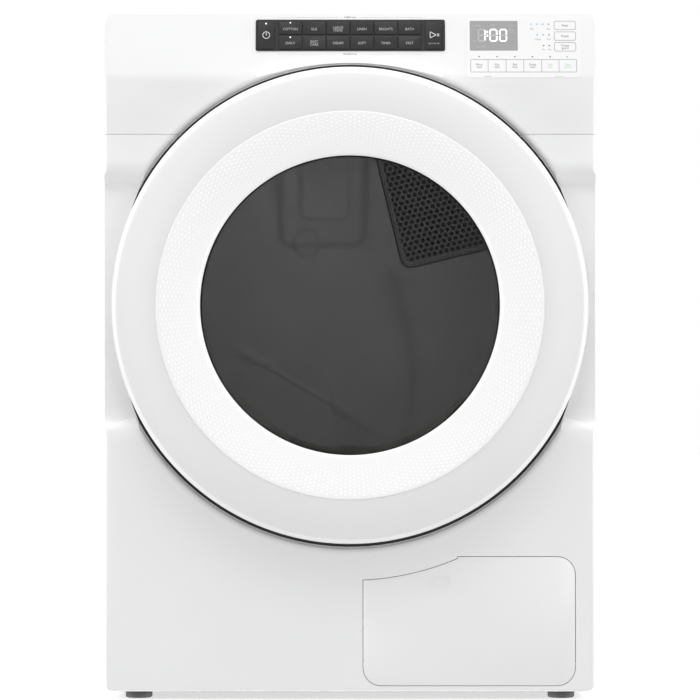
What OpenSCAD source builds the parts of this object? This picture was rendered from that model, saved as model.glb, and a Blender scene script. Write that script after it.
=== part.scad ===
// Front-loading ventless clothes dryer with a round door.
// Millimetres. +Z up, the front faces -Y, +X is to the viewer's right.
// The origin is on the floor, under the middle of the whole machine.

/* [Cabinet] */
// Width across the side panels
cabinet_w = 686; // [680:1:690]
// Height from the floor to the top panel, feet screwed in
cabinet_h = 971.5; // [968:0.5:980]
// Depth from the front of the closed door to the rear duct
overall_d = 787; // [786:1:790]
// Height of the cabinet's underside above the floor
foot_h = 16; // [15:0.5:17]
// Thickness of the sheet steel
skin = 1.2; // [1:0.1:1.4]

/* [Front] */
// How far the closed door stands in front of the front panel
door_proud = 48.5; // [48:0.5:49]
// Depth of the side band and of the round dish around the door
band_depth = 14.5; // [14:0.5:15]
// Depth of the wall behind the door
recess = 25; // [24:0.5:26]
// Height of the seam between the front panel and the console
seam_z = 794; // [790:1:798]
// Height of the door's and the drum's axis
axis_z = 555; // [553:1:557]
// Radius of the dish in which the door sits
dish_r = 338.5; // [338:0.5:340]

/* [Door] */
// Radius of the door's rim
door_r = 330; // [328:0.5:331]
// Radius of the seam between the outer ring and the trim ring
seam_r = 268; // [264:1:270]
// Radius of the visible window
window_r = 207; // [204:1:208]

/* [Drum] */
// Outer radius of the drum
drum_r = 325; // [323:0.5:326]
// Radius of the loading opening
opening_r = 224; // [223:0.5:226]

/* [Console] */
// Height at which the console starts to lean back
lean_z = 870; // [868:1:872]
// Angle by which it leans back, in degrees
lean = 14; // [12:0.5:15]
// Width of one cycle key with its share of the gap
key_w = 33.4; // [33:0.1:34]

/* [Hidden] */
$fn = 96;
half_w = cabinet_w / 2;
half_d = overall_d / 2;
front_y = -half_d + door_proud;
band_y = front_y + band_depth;
floor_y = front_y + recess;
flange_y = front_y + 45;
rear_y = half_d - 21.7;
inner_w = half_w - skin - 0.5;
edge_r = 6;
seam_gap = 0.25;
top_r = 22;
lip_r = 9.5;
band_z = [378, 400, 722, 743];
band_turn = atan(band_depth / (band_z[1] - band_z[0]));
top_skirt_z = cabinet_h - 30.5;

// Front bulkhead, drum and rear bulkhead, front to back
bulk_y = floor_y + 1.5;
bulk_t = 3;
bulk_inner_y = bulk_y + 43.5;
seat_r = drum_r - 5;
drum_t = 1.2;
drum_y = [-283, 341];
rear_bulk_y = 345;
rear_bulk_t = 2;
bulk_z = [205, 905];

// Access panel: corners in X and Z, corner radius, hinge axis
access_x = [18.5, 314];
access_z = [25.3, 204.7];
access_r = 25;
access_arc_r = 383.5;
access_t = 2.5;
access_gap = 0.8;
access_axis = [front_y + 4.5, access_z[0] + 29.5];

// Door hinge and latch
hinge_x = 322;
hinge_y = front_y + 5;
pin_r = 4;
run_gap = 0.05;
knuckle_r = 7;
leaf_z = [axis_z - 35, axis_z + 35];
bracket_z = [axis_z - 58, axis_z + 58];
door_back_y = floor_y - 10;
plug_y = floor_y + 18;
strike_x = -290;

// Lint filter
filter_w = 190;
filter_y = [plug_y + 9.5, plug_y + 19.5];
filter_bottom = 256;
pocket_bottom = 252;
crescent_r = 201;
crescent_half = 51;

// Air grille in the rear bulkhead
grille_corner = [86.4, 69];
grille_turn = 13.6;
grille_limit_r = 296;
grille_pitch = 9.7;
grille_hole_r = 3.5;

// Drive
belt_y = [54, 66];
belt_t = 2.5;
motor_xz = [-190, 120];
motor_y = [85, 205];
pulley_r = 10;
blower_y = [215, 285];
idler_r = 22;
idler_reach = 110;
roller_r = 34.7;
roller_angle = 35;
roller_y = [300, 325];
motor_to_drum = [-motor_xz[0], axis_z - motor_xz[1]];
strand_angle = atan2(motor_to_drum[1], motor_to_drum[0])
    - asin((drum_r - pulley_r) / norm(motor_to_drum));
strand_dir = [cos(strand_angle), sin(strand_angle)];
strand_out = [sin(strand_angle), -cos(strand_angle)];
idler_xz = motor_xz + idler_reach * strand_dir
    + (pulley_r + belt_t + 0.7 + idler_r) * strand_out;
idler_pivot = [10, 75];

// Feet
foot_xy = [[-300, -262], [300, -262], [-300, 335], [300, 335]];
foot_names = ["foot_front_left", "foot_front_right", "foot_rear_left", "foot_rear_right"];
stem_r = 5;

// Console keys, on the leaning face
bezel_x = [-132, 133];
bezel_z = [911, 956];
bezel_proud = 1;
key_proud = 2.2;
key_gap = 1.6;
key_clear = 0.35;
key_rows = [[933.7, 953.3], [912.8, 932.4]];
key_x0 = -3 * key_w;
end_key_x = [[-130, -104.6], [104.6, 130]];
overlay_x = [163, 322];
overlay_z = [873, 959];
display_x = [167, 235];
display_z = [911, 954];

// Screws in the rear panel: X and Z
rear_screws = [for (s = [-1, 1], z = [80, 240, 400, 560, 720, 900]) [s * (half_w - 8), z]];

cycle_keys = [for (row = ["upper", "lower"], i = [1:6]) str("cycle_key_", row, "_", i)];

white = [0.95, 0.95, 0.95];
light_grey = [0.86, 0.86, 0.87];
dark = [0.2, 0.2, 0.19];
black = [0.16, 0.16, 0.17];
steel = [0.7, 0.71, 0.72];

// ---------------------------------------------------------------- helpers

function arc(x, y, r, a0, a1, n = 8) =
    [for (i = [0:n]) let (a = a0 + (a1 - a0) * i / n) [x + r * cos(a), y + r * sin(a)]];
function round_rect(x, y, r) = concat(
    arc(x[1] - r, y[1] - r, r, 0, 90), arc(x[0] + r, y[1] - r, r, 90, 180),
    arc(x[0] + r, y[0] + r, r, 180, 270), arc(x[1] - r, y[0] + r, r, 270, 360));
function on_ring(r, a) = [r * sin(a), axis_z - r * cos(a)];
// Distance up the leaning face, for a height above the floor
function up_face(z) = (z - lean_z) / cos(lean);

module along_x(x0, x1) {
    translate([x0, 0, 0]) rotate([90, 0, 90]) linear_extrude(x1 - x0) children();
}

module along_y(y0, y1) {
    translate([0, y1, 0]) rotate([90, 0, 0]) linear_extrude(y1 - y0) children();
}

module along_z(z0, z1) {
    translate([0, 0, z0]) linear_extrude(z1 - z0) children();
}

// Box from its limits in X, Y and Z
module block(x, y, z) {
    translate([x[0], y[0], z[0]]) cube([x[1] - x[0], y[1] - y[0], z[1] - z[0]]);
}

// A turned shape about an axis along Y, from points [radius, y]
module turned(points, x = 0, z = axis_z) {
    translate([x, 0, z]) rotate([-90, 0, 0]) rotate_extrude() polygon(points);
}

module rod_y(x, z, r, y0, y1) {
    translate([x, y0, z]) rotate([-90, 0, 0]) cylinder(r = r, h = y1 - y0);
}

// Children stand on the console's leaning face: X right, Y into it, Z up it
module on_face() {
    translate([0, front_y, lean_z]) rotate([-lean, 0, 0]) children();
}

module face_plate(x, z, y0, y1, r) {
    on_face() along_y(y0, y1) polygon(round_rect(x, [up_face(z[0]), up_face(z[1])], r));
}

// ---------------------------------------------------------------- cabinet skins

// Outlines of the front, set in by o from the outer surface
function plan(o, back) = concat(
    arc(half_w - edge_r, front_y + edge_r, edge_r - o, 270, 360),
    [[half_w - o, back], [o - half_w, back]],
    arc(edge_r - half_w, front_y + edge_r, edge_r - o, 180, 270));
function panel_outline(o) = concat(
    arc(half_w - 14, foot_h + 14.5, 14 - o, 270, 360),
    [[half_w - o, seam_z - seam_gap - o], [o - half_w, seam_z - seam_gap - o]],
    arc(14 - half_w, foot_h + 14.5, 14 - o, 180, 270));
function panel_side(o, back) = let (k = o * tan(band_turn / 2), f = front_y + o, b = band_y + o)
    concat([[back, foot_h + 0.5 + o]],
    arc(front_y + 5, foot_h + 5.5, 5 - o, 270, 180),
    [[f, band_z[0] - k], [b, band_z[1] - k], [b, band_z[2] + k], [f, band_z[3] + k],
     [f, seam_z - seam_gap - o], [back, seam_z - seam_gap - o]]);
function console_outline(o) = concat(
    arc(half_w - top_r, cabinet_h - top_r, top_r - o, 0, 90),
    arc(top_r - half_w, cabinet_h - top_r, top_r - o, 90, 180),
    [[o - half_w, seam_z + seam_gap + o], [half_w - o, seam_z + seam_gap + o]]);
function console_side(o, back) =
    let (f = front_y + o, k = o * tan(lean / 2), slope = tan(lean), r = 10,
         top_y = front_y + (cabinet_h - lean_z) * slope,
         c = [top_y - r * slope + r / cos(lean), cabinet_h - r])
    concat([[back, seam_z + seam_gap + o], [f, seam_z + seam_gap + o], [f, lean_z + k]],
    arc(c[0], c[1], r - o, 180 - lean, 90), [[back, cabinet_h - o]]);

module dish(o) {
    turned(concat([[0, -half_d - 20], [dish_r + lip_r, -half_d - 20]],
        arc(dish_r + lip_r, front_y + lip_r, lip_r - o, 270, 180),
        [[dish_r + o, band_y + o], [0, band_y + o]]));
}

module panel_form(o, back) {
    difference() {
        intersection() {
            along_z(foot_h, seam_z) polygon(plan(o, back));
            along_y(front_y - 5, back) polygon(panel_outline(o));
            along_x(-half_w, half_w) polygon(panel_side(o, back));
        }
        dish(o);
    }
}

module console_form(o, back) {
    difference() {
        intersection() {
            along_z(seam_z, cabinet_h) polygon(plan(o, back));
            along_y(front_y - 5, back) polygon(console_outline(o));
            along_x(-half_w, half_w) polygon(console_side(o, back));
        }
        dish(o);
    }
}

// Keeps the folded edges along the console seam clear of the front bulkhead
module seam_relief() {
    block([skin - half_w, half_w - skin], [floor_y + skin, flange_y + 2], [seam_z - 4, seam_z + 4]);
}

// Opening in the floor of the dish: narrower where the side band crosses it
module dish_opening() {
    along_y(band_y - 2, flange_y + 6) translate([0, axis_z]) intersection() {
        circle(r = dish_r - 1.2, $fn = 180);
        scale([328 / 374, 1]) circle(r = 374, $fn = 180);
    }
}

// Outline of the access panel in X and Z, grown by g
module access_outline(g) {
    offset(delta = g) difference() {
        polygon(round_rect(access_x, access_z, access_r));
        intersection() {
            translate([0, axis_z]) circle(r = access_arc_r, $fn = 180);
            polygon([[0, 150], [150, 150], [150, 260], [0, 260]]);
        }
    }
}

module front_panel() {
    color(white) {
        difference() {
            panel_form(0, flange_y);
            panel_form(skin, flange_y + 5);
            dish_opening();
            seam_relief();
            along_y(front_y - 2, front_y + 4) access_outline(access_gap);
        }
        for (x = [access_x[0] - 9, access_x[1] + 4]) access_lug(x);
    }
}

// Lug behind the front panel that holds one hinge pin of the access panel
module access_lug(x) {
    difference() {
        block([x, x + 5], [front_y + skin - 0.2, front_y + 10], [access_axis[1] - 4.5, access_axis[1] + 4.5]);
        translate([x - 1, access_axis[0], access_axis[1]]) rotate([0, 90, 0])
            cylinder(r = 1.5 + run_gap, h = 7);
    }
}

module console_fascia() {
    color(white) difference() {
        console_form(0, flange_y);
        console_form(skin, flange_y + 5);
        dish_opening();
        seam_relief();
        face_plate(bezel_x + [2, -2], bezel_z + [2, -2], -3, 4, 2);
        face_plate(display_x + [1, -1], display_z + [1, -1], -3, 4, 2);
    }
}

module side_sheet() {
    along_z(foot_h + 2, top_skirt_z - 0.3) polygon([
        [half_w, flange_y + 0.5], [half_w, rear_y - 1.4], [half_w - 14, rear_y - 1.4],
        [half_w - 14, rear_y - 1.4 - skin], [half_w - skin, rear_y - 1.4 - skin],
        [half_w - skin, flange_y + 0.5 + skin], [half_w - 12, flange_y + 0.5 + skin],
        [half_w - 12, flange_y + 0.5]]);
}

module side_panels() {
    for (s = [0, 1]) mirror([s, 0, 0]) color(white) difference() {
        side_sheet();
        for (p = rear_screws) rod_y(p[0], p[1], 2.1, rear_y - 12, rear_y + 2);
    }
}

module top_panel() {
    color(white) along_y(flange_y + 0.5, rear_y) difference() {
        polygon(concat([[half_w, top_skirt_z]],
            arc(half_w - top_r, cabinet_h - top_r, top_r, 0, 90),
            arc(top_r - half_w, cabinet_h - top_r, top_r, 90, 180), [[-half_w, top_skirt_z]]));
        polygon(concat([[half_w - skin, top_skirt_z - 1]],
            arc(half_w - top_r, cabinet_h - top_r, top_r - skin, 0, 90),
            arc(top_r - half_w, cabinet_h - top_r, top_r - skin, 90, 180),
            [[skin - half_w, top_skirt_z - 1]]));
    }
}

duct_x = [60, 300];
duct_z = [60, 880];
spigot_xz = [-250, 42];
inlet_xz = [-270, 880];

duct_screws = [for (x = [duct_x[0] - 5, duct_x[1] + 5], z = [80, 340, 600, 860]) [x, z]];

module rear_panel() {
    rear_sheet();
    rear_duct();
}

module rear_sheet() {
    y = [rear_y - 3, rear_y + 2];
    color(steel) difference() {
        along_y(rear_y - skin, rear_y) polygon(round_rect([skin + 0.3 - half_w, half_w - skin - 0.3],
            [foot_h + 2, cabinet_h - skin - 0.4], top_r - skin));
        along_y(y[0], y[1]) polygon(round_rect(duct_x + [6, -6], duct_z + [6, -6], 18));
        for (p = concat(rear_screws, duct_screws)) rod_y(p[0], p[1], 2.1, y[0], y[1]);
        rod_y(spigot_xz[0], spigot_xz[1], 10, y[0], y[1]);
        rod_y(inlet_xz[0], inlet_xz[1], 14.3, y[0], y[1]);
        for (i = [0:7]) block([-200 + 22 * i, -192 + 22 * i], y, [110, 200]);
    }
}

// Pressed cover over the rising air duct, flanged and screwed to the rear panel
module rear_duct() {
    color(steel) difference() {
        union() {
            along_y(rear_y, rear_y + skin)
                polygon(round_rect(duct_x + [-10, 10], duct_z + [-10, 10], 30));
            along_y(rear_y + 0.2, half_d) polygon(round_rect(duct_x, duct_z, 24));
        }
        along_y(rear_y - 1, half_d - skin)
            polygon(round_rect(duct_x + [skin, -skin], duct_z + [skin, -skin], 24 - skin));
        for (p = duct_screws) rod_y(p[0], p[1], 2.1, rear_y - 1, rear_y + 3);
    }
}

module panel_screw(p, y) {
    rod_y(p[0], p[1], 4.2, y, y + 2.4);
    rod_y(p[0], p[1], 2, y - 10, y);
}

module cabinet_screws() {
    color(steel) {
        for (p = rear_screws) panel_screw(p, rear_y);
        for (p = duct_screws) panel_screw(p, rear_y + skin);
    }
}

// Gland for the power cord and spigot for the drain hose
module rear_fittings() {
    cord_gland();
    drain_spigot();
}

module cord_gland() {
    color(black) turned([[8, rear_y - 12], [14, rear_y - 12], [14, rear_y], [20, rear_y],
        [20, rear_y + 4], [8, rear_y + 4]], inlet_xz[0], inlet_xz[1]);
}

module base_pan() {
    x = half_w - skin - 0.8;
    y = [flange_y + 3, rear_y - 4];
    color(dark) difference() {
        union() {
            difference() {
                along_z(foot_h, foot_h + 45) polygon(round_rect([-x, x], y, 18));
                along_z(foot_h + 3, foot_h + 46)
                    polygon(round_rect([3 - x, x - 3], [y[0] + 3, y[1] - 3], 15));
            }
            for (p = foot_xy) translate([p[0], p[1], foot_h]) cylinder(r = 15, h = 32);
            motor_cradle(motor_y[0] + 8);
            motor_cradle(motor_y[1] - 18);
            block([idler_pivot[0] - 10, idler_pivot[0] + 10], [76, 84],
                [foot_h + 2, idler_pivot[1] + 10]);
            rod_y(idler_pivot[0], idler_pivot[1], 5, 68, 78);
        }
        for (p = foot_xy) translate([p[0], p[1], foot_h - 1])
            cylinder(r = stem_r + run_gap, h = 36);
        rod_y(spigot_xz[0], spigot_xz[1], 6.5, y[1] - 4, y[1] + 1);
    }
}

// Hose spigot held in the pan's rear wall by its inner flange
module drain_spigot() {
    y = rear_y - 4;
    color(black) turned([[4.5, y - 6], [11, y - 6], [11, y - 3], [6.4, y - 3], [6.4, y], [8, y],
        [8, half_d - 2], [4.5, half_d - 2]], spigot_xz[0], spigot_xz[1]);
}

module motor_cradle(y) {
    difference() {
        block([motor_xz[0] - 50, motor_xz[0] + 50], [y, y + 10], [foot_h + 2, motor_xz[1] - 30]);
        rod_y(motor_xz[0], motor_xz[1], 60.3, y - 1, y + 11);
    }
}

module foot(p) {
    color(dark) translate([p[0], p[1], 0]) {
        cylinder(r1 = 18, r2 = 19, h = 2);
        translate([0, 0, 2]) cylinder(r = 19, h = 7);
        translate([0, 0, 9]) cylinder(r = 10, h = 5, $fn = 6);
        cylinder(r = stem_r, h = foot_h + 30);
    }
}

// ---------------------------------------------------------------- console

// The two end keys run the full height of both rows
function end_key(i) = [end_key_x[i], [key_rows[1][0], key_rows[0][1]]];
function cycle_key(row, i) = [[key_x0 + i * key_w, key_x0 + (i + 1) * key_w], key_rows[row]];
all_keys = concat([end_key(0), end_key(1)], [for (row = [0, 1], i = [0:5]) cycle_key(row, i)]);

module key_bezel() {
    color(black) difference() {
        union() {
            face_plate(bezel_x, bezel_z, -bezel_proud, 0, 3);
            face_plate(bezel_x + [2.5, -2.5], bezel_z + [2.5, -2.5], -0.5, 4, 1.5);
        }
        for (k = all_keys) {
            inset = key_gap / 2 - key_clear;
            face_plate(k[0] + [inset, -inset], k[1] + [inset, -inset], -4, 6, 1.2);
        }
    }
}

module key(k) {
    inset = key_gap / 2;
    x = (k[0][0] + k[0][1]) / 2;
    z = up_face((k[1][0] + k[1][1]) / 2);
    color(black) {
        face_plate(k[0] + [inset, -inset], k[1] + [inset, -inset], -key_proud, 3.5, 1);
        on_face() rod_y(x, z, 2.5, 3, 10);
    }
}

module display_overlay() {
    color(light_grey) {
        face_plate(overlay_x, overlay_z, -0.5, -0.05, 5);
        face_plate(display_x + [1.4, -1.4], display_z + [1.4, -1.4], -0.3, 3, 1.6);
    }
}

module control_board() {
    z = [up_face(913), up_face(953)];
    color([0.1, 0.35, 0.2]) on_face() difference() {
        union() {
            block([-150, 240], [12, 13.6], z);
            block([150, 230], [13, 22], z + [4, -6]);
            block([-120, -60], [13, 24], z + [4, -10]);
        }
        for (x = [-145, 0, 235]) rod_y(x, (z[0] + z[1]) / 2, 2, 11, 15);
    }
}

// ---------------------------------------------------------------- bulkheads

// Plate behind the front panel, with the round hole for the drum's mouth
module front_bulkhead() {
    y = [bulk_y - 1, bulk_y + bulk_t + 1];
    color(dark) difference() {
        along_y(bulk_y, bulk_y + bulk_t) polygon(round_rect([-inner_w, inner_w], bulk_z, 20));
        rod_y(0, axis_z, opening_r + 3.1, y[0], y[1]);
        block([strike_x - 8, strike_x + 8], y, [axis_z - 14, axis_z + 14]);
    }
}

// Front of the drum: its collar, and the lint filter's housing in the foot of the collar
module drum_mouth() {
    mouth_collar();
    filter_housing();
}

// Collar of the loading opening and the wall that carries the front drum seal
module mouth_collar() {
    y2 = bulk_inner_y;
    color(dark) difference() {
        turned([[opening_r, bulk_y], [opening_r + 3, bulk_y], [opening_r + 3, y2 - 3],
            [seat_r, y2 - 3], [seat_r, y2 + 13], [seat_r - 3, y2 + 13],
            [seat_r - 3, y2], [opening_r, y2]]);
        block([-filter_w / 2 - 4.1, filter_w / 2 + 4.1], [filter_y[0] - 3.1, y2 - 3],
            [pocket_bottom - 0.1, axis_z - opening_r + 32]);
    }
}

// Crescent lip at the foot of the loading opening, with the lint filter's pocket under it
module filter_housing() {
    y0 = plug_y + 4;
    y2 = bulk_inner_y;
    color(dark) difference() {
        union() {
            along_y(y0, y2) intersection() {
                difference() {
                    translate([0, axis_z]) circle(r = opening_r - 0.1, $fn = 180);
                    translate([0, axis_z]) circle(r = crescent_r, $fn = 180);
                }
                translate([0, axis_z]) polygon([[0, 0],
                    [-300 * tan(crescent_half), -300], [300 * tan(crescent_half), -300]]);
            }
            block([-filter_w / 2 - 4, filter_w / 2 + 4], [filter_y[0] - 3, y2 - 3.1],
                [pocket_bottom, axis_z - opening_r + 23]);
        }
        block([-filter_w / 2 - 0.6, filter_w / 2 + 0.6], [filter_y[0] - 0.6, filter_y[1] + 0.6],
            [filter_bottom - 0.1, 420]);
        rod_y(0, axis_z, opening_r - 26, y0 - 1, y2 + 1);
    }
}

module lint_filter() {
    x = filter_w / 2;
    tab_z = axis_z - 197;
    color(dark) difference() {
        union() {
            difference() {
                block([-x, x], filter_y, [filter_bottom, axis_z - 170]);
                rod_y(0, axis_z, crescent_r + 0.6, filter_y[0] - 1, filter_y[1] + 1);
            }
            block([-17, 17], filter_y, [tab_z - 30, tab_z]);
        }
        for (i = [0:8]) block([-x + 8 + 20 * i, -x + 22 + 20 * i],
            [filter_y[0] - 1, filter_y[1] + 1], [filter_bottom + 8, tab_z - 30]);
    }
}

module grille_outline(g) {
    offset(delta = g) intersection() {
        translate([0, axis_z]) circle(r = grille_limit_r, $fn = 180);
        translate(grille_corner + [0, axis_z]) rotate(grille_turn)
            polygon(round_rect([0, 190], [0, 250], 20));
    }
}

module rear_bulkhead() {
    y = rear_bulk_y;
    t = rear_bulk_t;
    color([0.45, 0.46, 0.46]) {
        difference() {
            union() {
                along_y(y, y + t) polygon(round_rect([-inner_w, inner_w], bulk_z, 20));
                turned([[seat_r - 3, y - 20], [seat_r, y - 20], [seat_r, y + 1], [seat_r - 3, y + 1]]);
                for (s = [-1, 1]) {
                    p = on_ring(drum_r + roller_r + 0.3, s * roller_angle);
                    rod_y(p[0], p[1], 6, roller_y[0] - 6, y + 1);
                    rod_y(p[0], p[1], 12, roller_y[1] + 2, y + 1);
                }
            }
            along_y(y - 1, y + t + 1) grille_outline(-8);
        }
        along_y(y + t - 0.5, rear_y - skin - 1) difference() {
            grille_outline(-2);
            grille_outline(-4);
        }
    }
}

module air_grille() {
    u = [grille_pitch, 0];
    v = [grille_pitch / 2, grille_pitch * sin(60)];
    color(black) along_y(rear_bulk_y - 3.2, rear_bulk_y - 0.1) difference() {
        grille_outline(0);
        intersection() {
            grille_outline(-8.5);
            translate(grille_corner + [0, axis_z]) rotate(grille_turn)
                for (j = [0:26], i = [-floor(j / 2):20 - floor(j / 2)])
                    translate([13.2, 13.6] + i * u + j * v) circle(r = grille_hole_r, $fn = 16);
        }
    }
}

module felt_ring(y) {
    turned([[seat_r + 0.05, y], [drum_r - drum_t - 0.3, y], [drum_r - drum_t - 0.3, y + 12],
        [seat_r + 0.05, y + 12]]);
}

module drum_seals() {
    color([0.75, 0.74, 0.7]) {
        felt_ring(bulk_inner_y - 1);
        felt_ring(rear_bulk_y - 18);
    }
}

// ---------------------------------------------------------------- drum and drive

module drum_shell() {
    r = drum_r;
    i = drum_r - drum_t;
    bead = 2.5;
    color(steel) turned(concat(
        [[i, drum_y[0]], [r, drum_y[0]]],
        [for (y = [-190, 200], s = [[0, -14], [1, -8], [1, 8], [0, 14]]) [r - s[0] * bead, y + s[1]]],
        [[r, drum_y[1]], [i, drum_y[1]]],
        [for (y = [200, -190], s = [[0, 14], [1, 8], [1, -8], [0, -14]]) [i - s[0] * bead, y + s[1]]]));
}

// Three hollow lifters along the drum's inner wall
module drum_baffles() {
    base_r = drum_r - drum_t - 0.1;
    color(light_grey) translate([0, 0, axis_z]) for (a = [90, 210, 330]) rotate([0, a, 0])
        difference() {
            along_y(-165, 170) polygon(concat([[-38, -base_r + 6], [-38, -base_r + 3]],
                arc(0, 0, base_r, 270 - 6.4, 270 + 6.4, 6),
                [[38, -base_r + 3], [38, -base_r + 6]],
                arc(0, -base_r + 62, 14, 20, 160, 6)));
            along_y(-162, 167) polygon(concat([[-33, -base_r - 2], [33, -base_r - 2],
                [33, -base_r + 6]], arc(0, -base_r + 60, 11, 20, 160, 6), [[-33, -base_r + 6]]));
        }
}

module roller(s) {
    p = on_ring(drum_r + roller_r + 0.3, s * roller_angle);
    color(black) turned([[6 + run_gap, roller_y[0]], [14, roller_y[0]], [14, roller_y[0] + 4],
        [26, roller_y[0] + 4], [26, roller_y[0]], [roller_r, roller_y[0]],
        [roller_r, roller_y[1]], [26, roller_y[1]], [26, roller_y[1] - 4],
        [14, roller_y[1] - 4], [14, roller_y[1]], [6 + run_gap, roller_y[1]]], p[0], p[1]);
}

module motor() {
    r = 60;
    color(steel) difference() {
        union() {
            turned([[0, motor_y[0]], [r - 12, motor_y[0]], [r, motor_y[0] + 12],
                [r, motor_y[1] - 12], [r - 12, motor_y[1]], [0, motor_y[1]]],
                motor_xz[0], motor_xz[1]);
            rod_y(motor_xz[0], motor_xz[1], 18, motor_y[0] - 5, motor_y[1] + 4);
        }
        rod_y(motor_xz[0], motor_xz[1], 6 + run_gap, motor_y[0] - 8, motor_y[1] + 8);
        for (a = [0:30:330]) rotate_about_motor(a)
            block([-4, 4], [motor_y[0] - 1, motor_y[0] + 8], [26, 44]);
    }
}

module rotate_about_motor(a) {
    translate([motor_xz[0], 0, motor_xz[1]]) rotate([0, a, 0]) children();
}

// Shaft with the belt's grooves cut straight into its front end
module motor_shaft() {
    y0 = belt_y[0] - 2;
    y1 = belt_y[1] + 2;
    color(steel) turned(concat([[0, y0 - 2], [pulley_r, y0 - 2], [pulley_r, y0 + 1]],
        [for (i = [0:4]) each [[pulley_r - 1.2, y0 + 2.5 + 2.4 * i], [pulley_r, y0 + 3.7 + 2.4 * i]]],
        [[pulley_r, y1], [6, y1 + 2], [6, blower_y[1] - 10], [0, blower_y[1] - 10]]),
        motor_xz[0], motor_xz[1]);
}

module blower_wheel() {
    y = [blower_y[0] + 9, blower_y[1] - 12];
    color(dark) {
        difference() {
            union() {
                rod_y(motor_xz[0], motor_xz[1], 68, y[1] - 3, y[1]);
                rod_y(motor_xz[0], motor_xz[1], 14, y[0] + 6, y[1] - 1);
                turned([[60, y[0]], [68, y[0]], [68, y[0] + 3], [60, y[0] + 3]],
                    motor_xz[0], motor_xz[1]);
                for (a = [0:18:342]) rotate_about_motor(a)
                    block([-1.2, 1.2], [y[0] + 1, y[1] - 1], [52, 67.5]);
            }
            rod_y(motor_xz[0], motor_xz[1], 6.02, y[0] - 1, y[1] + 1);
        }
    }
}

outlet_x = [-150, 262];
outlet_z = [38, 96];

module blower_housing() {
    y = blower_y;
    color(dark) difference() {
        union() {
            rod_y(motor_xz[0], motor_xz[1], 84, y[0], y[1]);
            block(outlet_x, y, outlet_z);
        }
        rod_y(motor_xz[0], motor_xz[1], 81, y[0] + 3, y[1] - 3);
        rod_y(motor_xz[0], motor_xz[1], 45, y[0] - 1, y[0] + 4);
        block(outlet_x + [-20, -3], y + [3, -3], outlet_z + [3, -3]);
        block([90, 250], [y[1] - 4, y[1] + 2], outlet_z + [8, -8]);
    }
}

// Closed loop around the drum and the motor's grooved shaft
module drum_belt() {
    module loop(grow) {
        hull() {
            translate([0, axis_z]) circle(r = drum_r + grow, $fn = 180);
            translate(motor_xz) circle(r = pulley_r + grow, $fn = 48);
        }
    }
    color(black) along_y(belt_y[0], belt_y[1]) difference() {
        loop(0.4 + belt_t);
        loop(0.4);
    }
}

module idler_arm() {
    p = idler_xz;
    q = idler_pivot;
    reach = norm(p - q);
    turn = atan2(p[1] - q[1], p[0] - q[0]);
    color(steel) difference() {
        union() {
            translate([q[0], 0, q[1]]) rotate([0, -turn, 0])
                block([0, reach], [69, 73], [-8, 8]);
            rod_y(q[0], q[1], 11, 69, 75.5);
            rod_y(p[0], p[1], 9, 69, 73);
            rod_y(p[0], p[1], 4, 50, 70);
        }
        rod_y(q[0], q[1], 5 + run_gap, 60, 80);
    }
}

module idler_pulley() {
    y = [belt_y[0] - 1, belt_y[1] + 1];
    color(black) turned([[4 + run_gap, y[0]], [idler_r + 1.2, y[0]], [idler_r + 1.2, y[0] + 0.6],
        [idler_r, y[0] + 0.6], [idler_r, y[1] - 0.6], [idler_r + 1.2, y[1] - 0.6],
        [idler_r + 1.2, y[1]], [4 + run_gap, y[1]]], idler_xz[0], idler_xz[1]);
}

// ---------------------------------------------------------------- heat pump

compressor_xy = [215, 140];
coil_x = [44, 279];
coil_y = [[-262, -165], [-145, -48]];
coil_z = [foot_h + 8, 190];

module compressor() {
    color(black) translate([compressor_xy[0], compressor_xy[1], foot_h + 3]) difference() {
        rotate_extrude() polygon([[0, 0], [64, 0], [64, 4], [50, 6], [54, 14], [54, 150],
            [50, 166], [38, 178], [20, 183], [0, 184]]);
        for (a = [45:90:315]) rotate(a) translate([59, 0, -1]) cylinder(r = 3, h = 8);
    }
}

// Finned evaporator and condenser with their copper pipes, brazed into one loop
module refrigerant_circuit() {
    color(steel) for (y = coil_y) fin_block(y);
    color([0.72, 0.45, 0.3]) {
        for (z = [60, 100, 140]) rod_y(coil_x[1] - 12, z, 5, coil_y[0][1] - 3, coil_y[1][0] + 3);
        for (z = [70, 130])
            rod_y(compressor_xy[0], z, 5, coil_y[1][1] - 3, compressor_xy[1] - 54.5);
    }
}

module fin_block(y) {
    difference() {
        block(coil_x, y, coil_z);
        for (i = [0:10]) block([coil_x[0] + 6 + 20.6 * i, coil_x[0] + 23 + 20.6 * i],
            y + [-1, 1], coil_z + [6, -6]);
    }
}

// Pull-out filter cartridge behind the access panel
module condenser_filter() {
    color(dark) difference() {
        block([48, 296], [front_y + 12, coil_y[0][0] - 4], [foot_h + 48, 182]);
        block([54, 290], [front_y + 20, coil_y[0][0] - 2], [foot_h + 54, 176]);
        block([140, 204], [front_y + 11, front_y + 16], [120, 150]);
    }
}

// ---------------------------------------------------------------- door

module door_outer_ring() {
    f = -half_d;
    color(light_grey) turned(concat(
        [for (i = [0:6]) let (u = i / 6) [seam_r + 0.1 + (door_r - 6 - seam_r) * u, f + 1 + 7.5 * u * u]],
        [[door_r - 1.5, f + 12], [door_r, f + 15.5], [door_r, f + 19.5], [door_r - 16, front_y - 1],
         [door_r - 18.8, front_y - 1], [door_r - 3, f + 20], [door_r - 3, f + 16],
         [door_r - 9, f + 11.6], [seam_r + 0.1, f + 4.7]]));
}

module door_trim_ring() {
    f = -half_d;
    color(white) turned(concat([[seam_r, f + 4.6]],
        arc(seam_r - 1, f + 1, 1, 0, -90, 4),
        [[window_r + 2, f + 7], [window_r, f + 8], [window_r, f + 9.6], [window_r + 14, f + 9.6],
         [seam_r - 6, f + 4.6]]));
}

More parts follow.
